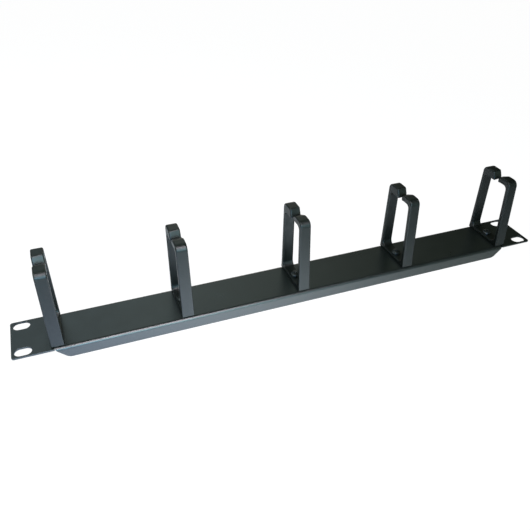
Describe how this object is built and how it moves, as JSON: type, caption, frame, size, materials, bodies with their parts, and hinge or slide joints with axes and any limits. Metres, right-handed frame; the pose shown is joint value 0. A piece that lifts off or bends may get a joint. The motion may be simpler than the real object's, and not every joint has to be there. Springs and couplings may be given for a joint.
{
  "type": "rack cable management panel",
  "caption": "One rack unit horizontal cable management panel: folded steel face with slotted ears and a row of split plastic cable rings.",
  "frame": {"origin": "middle of the rectangle between the free edges of the two flanges, which lie at Z = 0", "axes": "+X along the panel, +Y across it from the near edge to the far edge, +Z out of its face. In a rack +Z points out of the front and +Y points up."},
  "size_m": [0.4826, 0.044, 0.0794],
  "materials": {
    "panel": "satin black powder coat",
    "rings": "satin black moulded plastic",
    "screws": "black zinc",
    "hidden_hardware": "bright zinc"
  },
  "bodies": {
    "root": {"panel": "panel", "cable_ring_1": "rings", "cable_ring_2": "rings", "cable_ring_3": "rings", "cable_ring_4": "rings", "cable_ring_5": "rings", "ring_screws": "screws", "ring_washers": "hidden_hardware", "ring_nuts": "hidden_hardware"}
  },
  "joints": []
}
